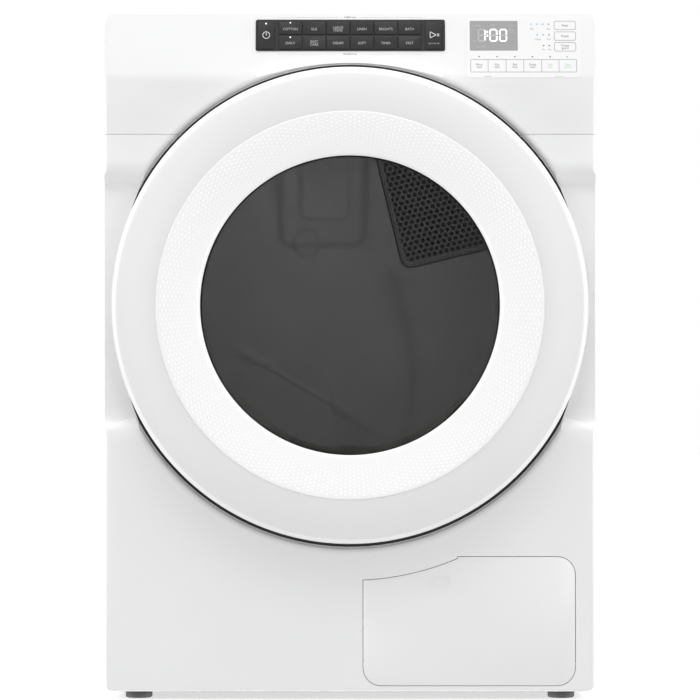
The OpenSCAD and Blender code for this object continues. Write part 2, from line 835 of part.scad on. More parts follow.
module door_window() {
    color([0.2, 0.2, 0.21]) rod_y(0, axis_z, window_r + 9, -half_d + 9.8, -half_d + 13);
}

module door_inner_liner() {
    b = door_back_y;
    p = plug_y;
    r = 219;
    color(light_grey) difference() {
        turned([[door_r - 19.4, front_y - 6], [door_r - 21, front_y + 4], [door_r - 34, b],
            [r, b], [r, p], [211.8, p], [211.8, p - 2], [r - 3, p - 2], [r - 3, b - 2.5],
            [door_r - 36, b - 2.5], [door_r - 24, front_y + 3], [door_r - 22.4, front_y - 6]]);
        for (a = [0:45:315]) rotate_door(a + 22.5) rod_y(270, axis_z, 3, b - 5, b + 2);
    }
}

module rotate_door(a) {
    translate([0, 0, axis_z]) rotate([0, a, 0]) translate([0, 0, -axis_z]) children();
}

module door_inner_glass() {
    color([0.6, 0.65, 0.65]) rod_y(0, axis_z, 215.4, plug_y - 5.2, plug_y - 2.1);
}

module door_seal() {
    b = door_back_y;
    color(dark) translate([0, 0, axis_z]) rotate([-90, 0, 0]) rotate_extrude() union() {
        translate([232, b + 0.02]) square([14, 3]);
        translate([239, b + 5.9]) circle(r = 5.3, $fn = 32);
    }
}

module door_strike() {
    b = door_back_y;
    color(steel) difference() {
        union() {
            block([strike_x - 4, strike_x + 18], [b, b + 2.5], [axis_z - 20, axis_z + 20]);
            block([strike_x - 3, strike_x + 3], [b + 1, b + 27], [axis_z - 8, axis_z + 8]);
        }
        block([strike_x - 4, strike_x + 4], [b + 16, b + 22], [axis_z - 4, axis_z + 4]);
    }
}

module door_latch() {
    y = bulk_y + bulk_t;
    color(black) difference() {
        block([strike_x - 14, strike_x + 14], [y + 0.02, y + 30], [axis_z - 28, axis_z + 28]);
        block([strike_x - 8, strike_x + 8], [y - 1, y + 20], [axis_z - 14, axis_z + 14]);
    }
}

module knuckle(r, z) {
    translate([hinge_x, hinge_y, z[0]]) cylinder(r = r, h = z[1] - z[0]);
}

module door_hinge_leaf() {
    b = door_back_y;
    color(steel) difference() {
        union() {
            block([250, 292], [b + 0.02, b + 3], leaf_z);
            along_z(leaf_z[0], leaf_z[1]) polygon([[284, b + 0.5], [284, b + 3], [306, b + 3],
                [hinge_x, hinge_y + 5], [hinge_x, hinge_y], [304, b + 0.5]]);
            knuckle(knuckle_r, leaf_z);
        }
        knuckle(pin_r + run_gap, leaf_z + [-1, 1]);
    }
}

module hinge_bracket() {
    color(steel) {
        block([262, 309], [bulk_y - 2, bulk_y - 0.02], bracket_z + [-6, 6]);
        for (z = [[bracket_z[0], leaf_z[0] - 0.5], [leaf_z[1] + 0.5, bracket_z[1]]]) {
            knuckle(knuckle_r, z);
            along_z(z[0], z[1]) polygon([[296, bulk_y - 2.5], [296, bulk_y - 0.5],
                [309, bulk_y - 0.5], [hinge_x + 5, hinge_y], [hinge_x - 5, hinge_y]]);
        }
        knuckle(pin_r, bracket_z);
    }
}

// ---------------------------------------------------------------- access panel

module access_panel() {
    axis = access_axis;
    color(white) {
        along_y(front_y, front_y + access_t) access_outline(0);
        for (x = [access_x[0] + 8, access_x[1] - 14])
            block([x, x + 6], [front_y + 1, axis[0] + 3], [axis[1] - 3, axis[1] + 4]);
        for (x = [[access_x[0] - 8, access_x[0] + 9], [access_x[1] - 9, access_x[1] + 8]])
            translate([x[0], axis[0], axis[1]]) rotate([0, 90, 0])
                cylinder(r = 1.5, h = x[1] - x[0]);
    }
}

// ---------------------------------------------------------------- nodes

base_pan();
side_panels();
rear_panel();
top_panel();
front_panel();
console_fascia();
key_bezel();
display_overlay();
control_board();
front_bulkhead();
drum_mouth();
rear_bulkhead();
air_grille();
drum_seals();
motor();
blower_housing();
compressor();
refrigerant_circuit();
condenser_filter();
rear_fittings();
door_latch();
hinge_bracket();
cabinet_screws();
drum_belt();
door_outer_ring();
door_trim_ring();
door_window();
door_inner_liner();
door_inner_glass();
door_seal();
door_strike();
door_hinge_leaf();
drum_shell();
drum_baffles();
roller(-1);  // roller_left
roller(1);  // roller_right
motor_shaft();
blower_wheel();
idler_arm();
idler_pulley();
lint_filter();
access_panel();
for (i = [0:3]) foot(foot_xy[i]);
key(end_key(0));  // power_key
key(end_key(1));  // start_key
for (row = [0, 1], i = [0:5])
    key(cycle_key(row, i));
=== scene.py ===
# Looks of a white front-loading clothes dryer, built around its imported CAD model.
# Lengths are in metres. The front faces -Y, Z is up and the floor is at z = 0.
import math

import bmesh
import bpy
import numpy as np
from mathutils import Matrix, Vector


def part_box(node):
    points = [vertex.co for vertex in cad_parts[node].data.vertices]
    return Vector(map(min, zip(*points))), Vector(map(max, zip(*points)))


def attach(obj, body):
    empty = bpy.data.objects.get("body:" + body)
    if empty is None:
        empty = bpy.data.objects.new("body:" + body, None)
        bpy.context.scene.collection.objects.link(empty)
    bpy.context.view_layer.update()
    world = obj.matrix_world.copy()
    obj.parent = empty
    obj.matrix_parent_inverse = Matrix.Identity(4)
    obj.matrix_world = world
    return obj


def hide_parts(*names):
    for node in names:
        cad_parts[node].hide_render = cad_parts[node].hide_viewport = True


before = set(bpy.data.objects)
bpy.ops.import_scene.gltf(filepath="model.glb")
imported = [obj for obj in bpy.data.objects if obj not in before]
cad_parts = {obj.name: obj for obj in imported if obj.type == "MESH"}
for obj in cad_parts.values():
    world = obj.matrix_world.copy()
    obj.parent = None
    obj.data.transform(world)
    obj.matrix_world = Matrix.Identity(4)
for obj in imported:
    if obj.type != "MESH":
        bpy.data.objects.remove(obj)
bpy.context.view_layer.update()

MM = 0.001
WELD = 0.002 * MM

# ---------------------------------------------------------------- places, from the frame

front_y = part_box("front_panel")[0].y
cabinet_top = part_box("top_panel")[1].z
door_lo, door_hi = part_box("door_outer_ring")
door_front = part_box("door_trim_ring")[0].y
axis_z = (door_lo.z + door_hi.z) / 2
door_r = (door_hi.x - door_lo.x) / 2
seam_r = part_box("door_trim_ring")[1].x
glass_lo, glass_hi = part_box("door_window")
window_r = glass_hi.x - 9 * MM
# the console leans back above this height
LEAN = math.radians(14)
lean_z = cabinet_top - 101.5 * MM

# ---------------------------------------------------------------- materials


def new_material(name, color, roughness, **sockets):
    """A Principled material. Values that are the same all over go on the shader's own sockets."""
    mat = bpy.data.materials.new(name)
    mat.use_nodes = True
    shader = mat.node_tree.nodes["Principled BSDF"]
    shader.inputs["Base Color"].default_value = (*color, 1)
    shader.inputs["Roughness"].default_value = roughness
    for key, value in sockets.items():
        shader.inputs[key.replace("_", " ")].default_value = value
    return mat


def node(mat, kind, **settings):
    n = mat.node_tree.nodes.new(kind)
    for key, value in settings.items():
        setattr(n, key, value)
    return n


def link(mat, a, b):
    mat.node_tree.links.new(a, b)


def shader_of(mat):
    return mat.node_tree.nodes["Principled BSDF"]


def noise(mat, scale, detail=2.0, stretch=(1, 1, 1)):
    """Noise in the object's own coordinates; scale is in cells per metre."""
    coords = node(mat, "ShaderNodeTexCoord")
    mapping = node(mat, "ShaderNodeMapping")
    mapping.inputs["Scale"].default_value = stretch
    tex = node(mat, "ShaderNodeTexNoise")
    tex.inputs["Scale"].default_value = scale
    tex.inputs["Detail"].default_value = detail
    link(mat, coords.outputs["Object"], mapping.inputs["Vector"])
    link(mat, mapping.outputs["Vector"], tex.inputs["Vector"])
    return tex.outputs["Fac"]


def remap(mat, value, low, high):
    """Spreads the noise's usual span of 0.3 to 0.7 over low to high."""
    ramp = node(mat, "ShaderNodeMapRange")
    ramp.inputs["From Min"].default_value = 0.3
    ramp.inputs["From Max"].default_value = 0.7
    ramp.inputs["To Min"].default_value = low
    ramp.inputs["To Max"].default_value = high
    link(mat, value, ramp.inputs["Value"])
    return ramp.outputs["Result"]


def vary_color(mat, value, dark, light):
    """Mixes the base colour between two by a value from 0 to 1."""
    mix = node(mat, "ShaderNodeMix", data_type="RGBA")
    mix.inputs["A"].default_value = (*dark, 1)
    mix.inputs["B"].default_value = (*light, 1)
    link(mat, value, mix.inputs["Factor"])
    link(mat, mix.outputs["Result"], shader_of(mat).inputs["Base Color"])


def bump(mat, height, strength, distance):
    """Tilts the shading by a height; distance is the depth in metres."""
    n = node(mat, "ShaderNodeBump")
    n.inputs["Strength"].default_value = strength
    n.inputs["Distance"].default_value = distance
    link(mat, height, n.inputs["Height"])
    link(mat, n.outputs["Normal"], shader_of(mat).inputs["Normal"])


def finish(name, color, roughness, spread, grain, grain_depth, mottle=0.02, stretch=(1, 1, 1),
           **sockets):
    """A surface with mottled colour, uneven gloss and a fine grain, each from its own noise."""
    mat = new_material(name, color, roughness, **sockets)
    cloud = noise(mat, 9, 3)
    dark = [c * (1 - mottle) for c in color]
    light = [min(1, c * (1 + mottle)) for c in color]
    vary_color(mat, remap(mat, cloud, 0, 1), dark, light)
    gloss = noise(mat, 40, 3, stretch)
    link(mat, remap(mat, gloss, roughness - spread, roughness + spread),
         shader_of(mat).inputs["Roughness"])
    bump(mat, noise(mat, grain, 2, stretch), 0.25, grain_depth)
    return mat


enamel = finish("white_enamel", (0.82, 0.822, 0.822), 0.32, 0.04, 700, 0.00003, 0.006,
                Coat_Weight=0.25, Coat_Roughness=0.12)
white_moulding = finish("white_moulding", (0.82, 0.821, 0.822), 0.34, 0.04, 1500, 0.00002, 0.006,
                        Coat_Weight=0.2, Coat_Roughness=0.15)
console_moulding = finish("console_moulding", (0.79, 0.791, 0.792), 0.34, 0.04, 1500, 0.00002,
                          0.006, Coat_Weight=0.2, Coat_Roughness=0.15)
ring_moulding = finish("ring_moulding", (0.76, 0.761, 0.762), 0.36, 0.04, 1500, 0.00002, 0.006,
                       Coat_Weight=0.15, Coat_Roughness=0.2)
trim_moulding = finish("trim_moulding", (0.91, 0.91, 0.91), 0.24, 0.03, 1500, 0.00001, 0.004,
                       Coat_Weight=1.0, Coat_Roughness=0.18)
trim_dot = finish("trim_dot", (0.97, 0.97, 0.97), 0.3, 0.03, 1500, 0.00001, 0.004)
liner_moulding = finish("liner_moulding", (0.62, 0.62, 0.62), 0.5, 0.06, 1800, 0.00004, 0.02)
dark_moulding = finish("dark_moulding", (0.045, 0.045, 0.04), 0.5, 0.08, 1800, 0.00005, 0.1)
olive_moulding = finish("olive_moulding", (0.19, 0.19, 0.168), 0.5, 0.08, 1800, 0.00005, 0.08)
# near black used only as painted shade: the shadow in the groove round the grille and in the duct
# behind its openings
painted_shade_black = finish("painted_shade_black", (0.012, 0.012, 0.012), 0.8, 0.05, 1500, 0.00005, 0.1)
grille_black = finish("grille_black", (0.24, 0.24, 0.235), 0.45, 0.06, 1800, 0.00004, 0.1)
black_moulding = finish("black_moulding", (0.03, 0.03, 0.031), 0.42, 0.06, 1800, 0.00004, 0.1)
bezel_black = finish("bezel_black", (0.012, 0.012, 0.0125), 0.38, 0.04, 2500, 0.00001, 0.05)
key_black = finish("key_black", (0.024, 0.024, 0.025), 0.45, 0.05, 2500, 0.00002, 0.05,
                   Specular_IOR_Level=0.3)
rubber = finish("rubber", (0.035, 0.035, 0.035), 0.7, 0.08, 900, 0.00008, 0.12)
foot_nylon = finish("foot_nylon", (0.1, 0.1, 0.1), 0.55, 0.06, 1200, 0.00005, 0.08)
zinc = finish("zinc_plate", (0.62, 0.63, 0.64), 0.34, 0.08, 220, 0.00005, 0.06, Metallic=1.0)
drum_steel = finish("drum_steel", (0.66, 0.665, 0.67), 0.3, 0.06, 260, 0.00004, 0.03,
                    (1, 14, 1), Metallic=1.0)
cast_alloy = finish("cast_alloy", (0.5, 0.51, 0.52), 0.48, 0.1, 500, 0.00012, 0.08, Metallic=1.0)
fins = finish("fin_aluminium", (0.74, 0.74, 0.75), 0.36, 0.08, 300, 0.00006, 0.05,
              (8, 1, 1), Metallic=1.0)
black_enamel = finish("black_enamel", (0.03, 0.03, 0.03), 0.35, 0.06, 700, 0.00004, 0.1)
rear_grey = finish("rear_wall_grey", (0.43, 0.43, 0.43), 0.42, 0.05, 900, 0.00003, 0.02)
felt = finish("felt", (0.5, 0.48, 0.44), 0.95, 0.03, 2200, 0.0003, 0.15)
board = finish("circuit_board", (0.03, 0.14, 0.08), 0.4, 0.08, 500, 0.00004, 0.15)
film = finish("overlay_film", (0.8, 0.801, 0.802), 0.36, 0.03, 2500, 0.00001, 0.004)
lcd_grey = finish("lcd_grey", (0.33, 0.33, 0.33), 0.3, 0.03, 2500, 0.00001, 0.02)
print_white = finish("print_white", (0.72, 0.72, 0.72), 0.5, 0.03, 2500, 0.00001, 0.02)
print_dim = finish("print_dim", (0.42, 0.42, 0.42), 0.5, 0.03, 2500, 0.00001, 0.02)
print_grey = finish("print_grey", (0.07, 0.07, 0.07), 0.5, 0.03, 2500, 0.00001, 0.02)
print_line = finish("print_line", (0.24, 0.24, 0.24), 0.5, 0.03, 2500, 0.00001, 0.02)
print_pale = finish("print_pale", (0.62, 0.62, 0.62), 0.5, 0.03, 2500, 0.00001, 0.02)
print_green = finish("print_green", (0.25, 0.66, 0.24), 0.5, 0.03, 2500, 0.00001, 0.02)
print_black = finish("print_black", (0.04, 0.04, 0.04), 0.5, 0.03, 2500, 0.00001, 0.02)


def lit(name, color, strength):
    """A small light-emitting surface, such as a lamp or a display segment."""
    mat = finish(name, color, 0.4, 0.03, 2500, 0.00001, 0.02)
    shader_of(mat).inputs["Emission Color"].default_value = (*color, 1)
    shader_of(mat).inputs["Emission Strength"].default_value = strength
    return mat


led_white = lit("led_white", (0.95, 0.95, 0.95), 0.9)
led_blue = lit("led_blue", (0.16, 0.22, 0.95), 0.5)
segment_white = lit("segment_white", (0.95, 0.95, 0.95), 0.6)


def see_through(name, tint, gloss_roughness, haze, ior):
    """Thin tinted sheet: a transparent body, a little haze in it and a clear reflection over it."""
    mat = bpy.data.materials.new(name)
    mat.use_nodes = True
    nodes = mat.node_tree.nodes
    nodes.clear()
    out = node(mat, "ShaderNodeOutputMaterial")
    clear = node(mat, "ShaderNodeBsdfTransparent")
    clear.inputs["Color"].default_value = (*tint, 1)
    body = node(mat, "ShaderNodeBsdfDiffuse")
    body.inputs["Color"].default_value = (0.04, 0.04, 0.041, 1)
    mix_body = node(mat, "ShaderNodeMixShader")
    speckle = noise(mat, 60, 2)
    link(mat, remap(mat, speckle, haze * 0.97, haze * 1.03), mix_body.inputs["Fac"])
    gloss = node(mat, "ShaderNodeBsdfGlossy")
    gloss.inputs["Roughness"].default_value = gloss_roughness
    fresnel = node(mat, "ShaderNodeFresnel")
    fresnel.inputs["IOR"].default_value = ior
    mix = node(mat, "ShaderNodeMixShader")
    link(mat, clear.outputs[0], mix_body.inputs[1])
    link(mat, body.outputs[0], mix_body.inputs[2])
    link(mat, fresnel.outputs[0], mix.inputs["Fac"])
    link(mat, mix_body.outputs[0], mix.inputs[1])
    link(mat, gloss.outputs[0], mix.inputs[2])
    link(mat, mix.outputs[0], out.inputs["Surface"])
    return mat


window_tint = see_through("window_tint", (0.5, 0.5, 0.5), 0.03, 0.1, 1.22)
inner_glass = see_through("inner_glass", (0.94, 0.94, 0.94), 0.02, 0.02, 1.2)

# ---------------------------------------------------------------- mesh helpers


SMOOTH_ANGLE = 32


def smooth_by_angle():
    """A node group that shades faces smooth except across edges over the smooth angle."""
    tree = bpy.data.node_groups.new("smooth_by_angle", "GeometryNodeTree")
    tree.interface.new_socket("Geometry", in_out="INPUT", socket_type="NodeSocketGeometry")
    tree.interface.new_socket("Geometry", in_out="OUTPUT", socket_type="NodeSocketGeometry")
    start = tree.nodes.new("NodeGroupInput")
    end = tree.nodes.new("NodeGroupOutput")
    faces = tree.nodes.new("GeometryNodeSetShadeSmooth")
    edges = tree.nodes.new("GeometryNodeSetShadeSmooth")
    edges.domain = "EDGE"
    edges.inputs["Shade Smooth"].default_value = False
    angle = tree.nodes.new("GeometryNodeInputMeshEdgeAngle")
    sharp = tree.nodes.new("FunctionNodeCompare")
    sharp.operation = "GREATER_THAN"
    sharp.inputs[1].default_value = math.radians(SMOOTH_ANGLE)
    tree.links.new(start.outputs[0], faces.inputs["Geometry"])
    tree.links.new(faces.outputs[0], edges.inputs["Geometry"])
    tree.links.new(angle.outputs["Unsigned Angle"], sharp.inputs[0])
    tree.links.new(sharp.outputs[0], edges.inputs["Selection"])
    tree.links.new(edges.outputs[0], end.inputs[0])
    return tree


SMOOTH = smooth_by_angle()


def dress(name, mat, bevel=0.0):
    """Gives a CAD node its material, clean shading and, if asked, broken edges."""
    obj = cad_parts[name]
    obj.data.materials.clear()
    obj.data.materials.append(mat)
    weld = obj.modifiers.new("weld", "WELD")
    weld.merge_threshold = WELD
    if bevel:
        flat = obj.modifiers.new("flat", "DECIMATE")
        flat.decimate_type = "DISSOLVE"
        flat.angle_limit = math.radians(0.5)
        edge = obj.modifiers.new("edge", "BEVEL")
        edge.width = bevel
        edge.segments = 2
        edge.limit_method = "ANGLE"
        edge.angle_limit = math.radians(40)
    shade = obj.modifiers.new("shade", "NODES")
    shade.node_group = SMOOTH
    return obj


def piece(name, verts, faces, mat, body, slot=None, stands_for=(),
          sharp=SMOOTH_ANGLE):
    """A new mesh piece that rides on a body, in place of the CAD nodes it stands for."""
    mesh = bpy.data.meshes.new(name)
    mesh.from_pydata([tuple(v) for v in verts], [], faces)
    obj = bpy.data.objects.new(name, mesh)
    bpy.context.scene.collection.objects.link(obj)
    work = bmesh.new()
    work.from_mesh(mesh)
    bmesh.ops.remove_doubles(work, verts=work.verts, dist=1e-6)
    bmesh.ops.recalc_face_normals(work, faces=work.faces)
    work.to_mesh(mesh)
    work.free()
    mesh.polygons.foreach_set("use_smooth", [True] * len(mesh.polygons))
    mesh.set_sharp_from_angle(angle=math.radians(sharp))
    mesh.materials.append(mat)
    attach(obj, body)
    if stands_for:
        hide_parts(*stands_for)
    return obj


def soften_folds(name, source, mat, slot, heights, sharp=SMOOTH_ANGLE):
    """A cabinet sheet of the CAD with rows cut across it, so that its shading turns softly."""
    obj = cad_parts[source]
    work = bmesh.new()
    work.from_mesh(obj.data)
    work.transform(obj.matrix_world)
    bmesh.ops.remove_doubles(work, verts=work.verts, dist=WELD)
    for height in heights:
        bmesh.ops.bisect_plane(work, geom=work.verts[:] + work.edges[:] + work.faces[:],
                               dist=1e-6, plane_co=(0, 0, height), plane_no=(0, 0, 1))
    work.verts.index_update()
    verts = [v.co.copy() for v in work.verts]
    faces = [[v.index for v in face.verts] for face in work.faces]
    work.free()
    return piece(name, verts, faces, mat, "cabinet", slot, [source], sharp)


def join(parts):
    """Joins (verts, faces) pairs into one pair."""
    verts, faces = [], []
    for v, f in parts:
        base = len(verts)
        verts += list(v)
        faces += [tuple(i + base for i in face) for face in f]
    return verts, faces


def arc(cx, cy, r, a0, a1, steps=8):
    """Points along an arc about (cx, cy), from angle a0 to a1 in degrees."""
    return [(cx + r * math.cos(math.radians(a0 + (a1 - a0) * i / steps)),
             cy + r * math.sin(math.radians(a0 + (a1 - a0) * i / steps))) for i in range(steps + 1)]


def lathe(profile, steps=256):
    """Turns a closed profile of (radius, y) about the drum's axis."""
    count = len(profile)
    verts, faces = [], []
    for i in range(steps):
        a = 2 * math.pi * i / steps
        verts += [(r * math.cos(a), y, axis_z + r * math.sin(a)) for r, y in profile]
    for i in range(steps):
        j = (i + 1) % steps
        for k in range(count):
            m = (k + 1) % count
            faces.append((i * count + k, i * count + m, j * count + m, j * count + k))
    return verts, faces


def on_face(x, z, proud):
    """A point over the console's leaning face, at a height z above the floor."""
    y = front_y + (z - lean_z) * math.tan(LEAN)
    return Vector((x, y - proud * math.cos(LEAN), z + proud * math.sin(LEAN)))


def plate(points, low, high):
    """A flat prism on the leaning face, from (x, z) points, between two heights off the face."""
    n = len(points)
    verts = [on_face(x, z, low) for x, z in points] + [on_face(x, z, high) for x, z in points]
    faces = [tuple(range(n)), tuple(range(2 * n - 1, n - 1, -1))]
    faces += [(i, (i + 1) % n, n + (i + 1) % n, n + i) for i in range(n)]
    return verts, faces


def frame_strip(outer, inner, low, high):
    """A closed strip between two loops with the same number of points."""
    n = len(outer)
    verts = [on_face(x, z, h) for h in (low, high) for loop in (outer, inner) for x, z in loop]
    faces = []
    for i in range(n):
        j = (i + 1) % n
        faces.append((i, j, n + j, n + i))
        faces.append((2 * n + i, 3 * n + i, 3 * n + j, 2 * n + j))
        faces.append((i, 2 * n + i, 2 * n + j, j))
        faces.append((n + i, n + j, 3 * n + j, 3 * n + i))
    return verts, faces


def round_rect(x0, x1, z0, z1, r, steps=4):
    """Corner points of a rounded rectangle, in one loop."""
    return (arc(x1 - r, z1 - r, r, 0, 90, steps) + arc(x0 + r, z1 - r, r, 90, 180, steps)
            + arc(x0 + r, z0 + r, r, 180, 270, steps) + arc(x1 - r, z0 + r, r, 270, 360, steps))


def outline(x0, x1, z0, z1, r, width, low, high):
    """The printed edge of a rounded rectangle, of one width."""
    return frame_strip(round_rect(x0, x1, z0, z1, r),
                       round_rect(x0 + width, x1 - width, z0 + width, z1 - width,
                                  max(r - width, 0.0002)), low, high)


def dot(x, z, rx, rz, low, high, steps=16):
    """A printed round or oval dot."""
    return plate([(x + rx * math.cos(2 * math.pi * i / steps),
                   z + rz * math.sin(2 * math.pi * i / steps)) for i in range(steps)], low, high)


def bar(a, b, width, low, high):
    """A straight printed stroke from a to b, both (x, z)."""
    ax, az = a
    bx, bz = b
    length = math.hypot(bx - ax, bz - az)
    nx, nz = -(bz - az) / length * width / 2, (bx - ax) / length * width / 2
    return plate([(ax + nx, az + nz), (ax - nx, az - nz), (bx - nx, bz - nz), (bx + nx, bz + nz)],
                 low, high)


# turns flat text in the XY plane so that it lies on the leaning face
FACE_TURN = Matrix(((1, 0, 0), (0, math.sin(LEAN), -math.cos(LEAN)),
                    (0, math.cos(LEAN), math.sin(LEAN)))).to_4x4()


NARROWING = 0.92


def words(name, text, x, z, size, mat, body, proud):
    """Printed words, centred on (x, z), lying on the leaning face."""
    curve = bpy.data.curves.new(name, "FONT")
    curve.body = text
    curve.size = size
    curve.align_x = "CENTER"
    curve.align_y = "CENTER"
    curve.space_line = 0.82
    curve.extrude = 0.00002
    curve.resolution_u = 3
    curve.materials.append(mat)
    obj = bpy.data.objects.new(name, curve)
    bpy.context.scene.collection.objects.link(obj)
    obj.matrix_world = (Matrix.Translation(on_face(x, z, proud)) @ FACE_TURN
                        @ Matrix.Diagonal((NARROWING, 1, 1, 1)))
    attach(obj, body)
    return obj


# ---------------------------------------------------------------- CAD nodes and their materials

# material, width of the broken edges, nodes
DRESSING = [
    (enamel, 0.0004, ["side_panels", "top_panel"]),
    (white_moulding, 0.0005, ["access_panel"]),
    (zinc, 0.0, ["rear_panel", "motor_shaft"]),
    (zinc, 0.0003, ["cabinet_screws", "hinge_bracket", "door_hinge_leaf", "door_strike",
                    "idler_arm"]),
    (dark_moulding, 0.0, ["base_pan", "front_bulkhead", "blower_housing", "blower_wheel",
                          "condenser_filter"]),
    (olive_moulding, 0.0, ["drum_mouth"]),
    (black_moulding, 0.0004, ["door_latch", "rear_fittings"]),
    (black_moulding, 0.0, ["idler_pulley"]),
    (rear_grey, 0.0, ["rear_bulkhead"]),
    (felt, 0.0, ["drum_seals"]),
    (cast_alloy, 0.0008, ["motor"]),
    (black_enamel, 0.0, ["compressor"]),
    (fins, 0.0, ["refrigerant_circuit"]),
    (rubber, 0.0, ["drum_belt", "roller_left", "roller_right"]),
    (liner_moulding, 0.0, ["door_inner_liner", "drum_baffles"]),
    (drum_steel, 0.0, ["drum_shell"]),
    (board, 0.0, ["control_board"]),
    (film, 0.0, ["display_overlay"]),
    (bezel_black, 0.0, ["key_bezel"]),
    (olive_moulding, 0.0004, ["lint_filter"]),
]
for mat, bevel, names in DRESSING:
    for name in names:
        dress(name, mat, bevel)
# the side bands' ledges lie between 364 and 414 mm and between 708 and 757 mm above the floor
soften_folds("front_sheet", "front_panel", enamel, "white_paint",
             [z * MM for z in (364, 389, 414, 708, 732, 757)], 40)
soften_folds("console_shell", "console_fascia", console_moulding, "white_plastic",
             [lean_z - 45 * MM, lean_z + 10 * MM])
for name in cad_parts:
    if name.startswith("foot_"):
        dress(name, foot_nylon, 0.0005)
    if name.endswith("_key") or name.startswith("cycle_key"):
        dress(name, key_black, 0.00025)

# ---------------------------------------------------------------- door

CHAMFER = 6 * MM


def outer_ring_profile():
    """Gently crowned ring with a bright narrow chamfer, a short rim and a tapered back."""
    f = door_front
    back = door_hi.y
    inner = seam_r + 0.1 * MM
    top = [(inner + (door_r - CHAMFER - inner) * u, f + (1 + 7.5 * u * u) * MM)
           for u in [i / 12 for i in range(13)]]
    rim = [(door_r - 5.4 * MM, f + 9 * MM), (door_r - 1.6 * MM, f + 12.7 * MM),
           (door_r, f + 15.5 * MM), (door_r, f + 19 * MM), (door_r - 0.5 * MM, f + 20.5 * MM),
           (door_r - 15.6 * MM, back - 0.8 * MM), (door_r - 16.4 * MM, back)]
    inside = [(door_r - 18.6 * MM, back), (door_r - 3 * MM, f + 20 * MM),
              (door_r - 3 * MM, f + 16 * MM), (door_r - 9 * MM, f + 11.6 * MM),
              (inner + 1 * MM, f + 4.7 * MM), (inner, f + 4.4 * MM)]
    return top + rim + inside


def trim_front(r):
    """Y of the trim ring's funnel-shaped face at radius r."""
    u = (seam_r - 1 * MM - r) / (seam_r - 1 * MM - window_r)
    return door_front + 7.4 * MM * max(0.0, u) ** 1.25


def trim_profile():
    """Funnel-shaped ring with a rolled outer edge and a lip that holds the window."""
    f = door_front
    outer = seam_r - 1 * MM
    face = [outer - (outer - window_r - 1.2 * MM) * i / 14 for i in range(15)]
    face = [(r, trim_front(r)) for r in face]
    edge = arc(outer, f + 1 * MM, 1 * MM, 0, -80, 6)
    inner = [(window_r + 0.3 * MM, f + 7.9 * MM), (window_r, f + 8.6 * MM),
             (window_r, f + 9.6 * MM), (window_r + 14 * MM, f + 9.6 * MM),
             (seam_r - 6 * MM, f + 4.6 * MM), (seam_r, f + 4.6 * MM)]
    return edge + face + inner


def trim_dots():
    """Printed dots on a polar lattice: long and bold at the rim, fading to points at the window."""
    parts = []
    columns, rows = 126, 20
    first, last = seam_r - 6 * MM, window_r + 4 * MM
    for row in range(rows):
        r = first - (first - last) * row / (rows - 1)
        u = row / (rows - 1)
        across = (2.9 - 2.3 * u) * MM
        along = (1.25 - 0.75 * u) * MM
        for c in range(columns):
            a = 2 * math.pi * (c + 0.5 * (row % 2)) / columns
            ring = []
            for i in range(8):
                t = 2 * math.pi * i / 8
                rr = r + along * math.sin(t)
                aa = a + across * math.cos(t) / r
                ring.append((rr * math.cos(aa), trim_front(rr) - 0.03 * MM,
                             axis_z + rr * math.sin(aa)))
            parts.append((ring, [tuple(range(8))]))
    return join(parts)


piece("outer_ring", *lathe(outer_ring_profile()), ring_moulding, "door", "ring_plastic",
      ["door_outer_ring"])
piece("trim_ring", *lathe(trim_profile()), trim_moulding, "door", "trim_plastic",
      ["door_trim_ring"])
piece("trim_ring_dots", *trim_dots(), trim_dot, "door", "trim_plastic")

glass_front = glass_lo.y
glass_back = glass_hi.y
pane_r = glass_hi.x


def pane(front, back, radius):
    """Profile of a round pane with broken edges."""
    edge = 0.5 * MM
    return [(0, front), (radius - edge, front), (radius, front + edge), (radius, back - edge),
            (radius - edge, back), (0, back)]


piece("window_pane", *lathe(pane(glass_front, glass_back, pane_r)), window_tint, "door",
      "tinted_window", ["door_window"])
piece("window_border", *lathe([(window_r - 2.2 * MM, glass_back + 0.1 * MM),
                               (pane_r, glass_back + 0.1 * MM), (pane_r, glass_back + 0.5 * MM),
                               (window_r - 2.2 * MM, glass_back + 0.5 * MM)]),
      print_black, "door", "black_plastic")
inner_lo, inner_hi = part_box("door_inner_glass")
piece("inner_pane", *lathe(pane(inner_lo.y, inner_hi.y, inner_hi.x)), inner_glass, "door",
      "clear_glass", ["door_inner_glass"])

seal_lo, seal_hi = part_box("door_seal")


def seal_profile():
    """Flat foot with a round bulb that meets the bulkhead."""
    b = seal_lo.y
    mid = seal_hi.x - 7 * MM
    bulb = arc(mid, seal_hi.y - 5.3 * MM, 5.3 * MM, -40, 220, 20)
    foot = [(mid - 7 * MM, b + 2.6 * MM), (mid - 7 * MM, b), (mid + 7 * MM, b),
            (mid + 7 * MM, b + 2.6 * MM), (mid + 4.6 * MM, b + 2.9 * MM)]
    return bulb + [(mid - 4.6 * MM, b + 2.9 * MM)] + foot


piece("door_gasket", *lathe(seal_profile(), steps=192), rubber, "door", "black_rubber",
      ["door_seal"])

# ---------------------------------------------------------------- drum's rear wall and grille

wall_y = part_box("air_grille")[1].y
WALL_R = 315 * MM
GRILLE_TURN = math.radians(13.6)
GRILLE_CORNER = (86.4 * MM, 69 * MM)
GRILLE_LIMIT = 296 * MM
GRILLE_ROUND = 18 * MM
GRILLE_RIM = 5 * MM


def grille_local(x, z):
    """Coordinates along the turned grille's sides, from its lower left corner."""
    dx, dz = x - GRILLE_CORNER[0], z - GRILLE_CORNER[1]
    c, s = math.cos(GRILLE_TURN), math.sin(GRILLE_TURN)
    return dx * c + dz * s, -dx * s + dz * c


